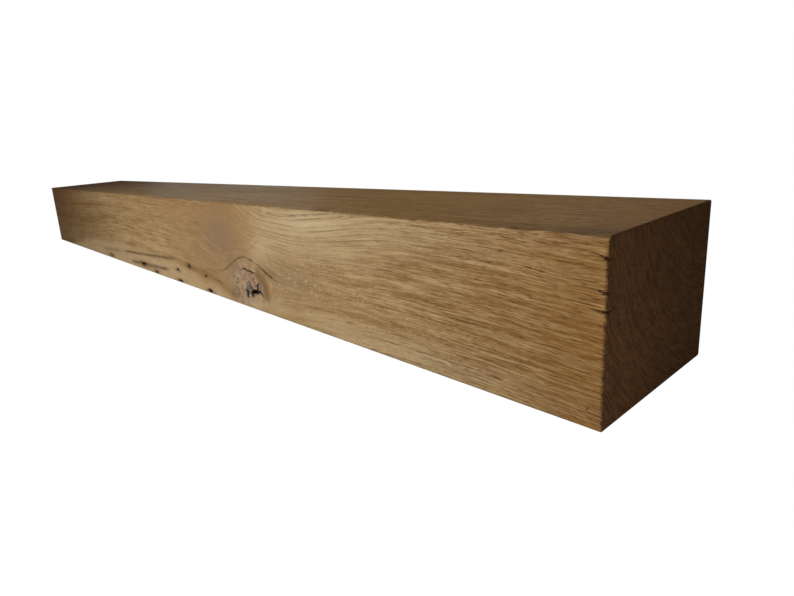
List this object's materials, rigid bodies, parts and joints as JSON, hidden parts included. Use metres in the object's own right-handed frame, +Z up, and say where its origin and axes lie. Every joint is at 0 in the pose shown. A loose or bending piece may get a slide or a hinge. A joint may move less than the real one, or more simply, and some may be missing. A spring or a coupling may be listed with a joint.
{
  "type": "fireplace mantel",
  "caption": "Solid square-edged oak beam that serves as the shelf over a fireplace, with a cracked knot, worm holes and worn arrises on its show face.",
  "frame": {"origin": "middle of the underside", "axes": "+X along the beam to its right-hand end, +Y to the wall face, +Z up; the show face looks to -Y"},
  "size_m": [1.524, 0.19, 0.145],
  "materials": {
    "oiled_oak": "planed oak, oiled, satin"
  },
  "bodies": {
    "root": {"oak_beam": "oiled_oak"}
  },
  "joints": []
}
